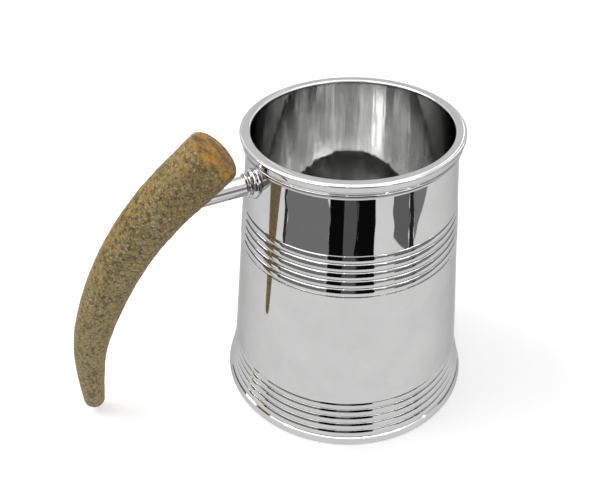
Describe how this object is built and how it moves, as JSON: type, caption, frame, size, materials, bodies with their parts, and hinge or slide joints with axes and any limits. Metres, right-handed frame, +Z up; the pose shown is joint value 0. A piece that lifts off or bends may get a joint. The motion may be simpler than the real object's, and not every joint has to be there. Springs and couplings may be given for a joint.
{
  "type": "tankard",
  "caption": "Tapered pint tankard in polished pewter with reeded foot and waist, and an antler tine handle on a short metal stem.",
  "frame": {"origin": "centre of the flat underside, on the axis of the vessel", "axes": "+Z up along the vessel's axis, -X along the stem towards the antler handle"},
  "size_m": [0.17, 0.1058, 0.1299],
  "materials": {
    "polished_pewter": "mirror-polished pewter with faint wiping marks",
    "cast_pewter": "polished cast pewter, darker in the quirks",
    "antler": "natural granular stag antler, sealed, with an orange-brown porous cut end",
    "steel_rod": "plain drawn steel, hidden"
  },
  "bodies": {
    "root": {"body_wall": "polished_pewter", "foot_ring": "cast_pewter", "floor_disc": "polished_pewter", "lip_bead": "polished_pewter", "rim_moulding": "cast_pewter", "handle_boss": "cast_pewter", "stem_tube": "polished_pewter", "stem_collar": "cast_pewter", "tie_rod": "steel_rod", "antler_handle": "antler"}
  },
  "joints": []
}
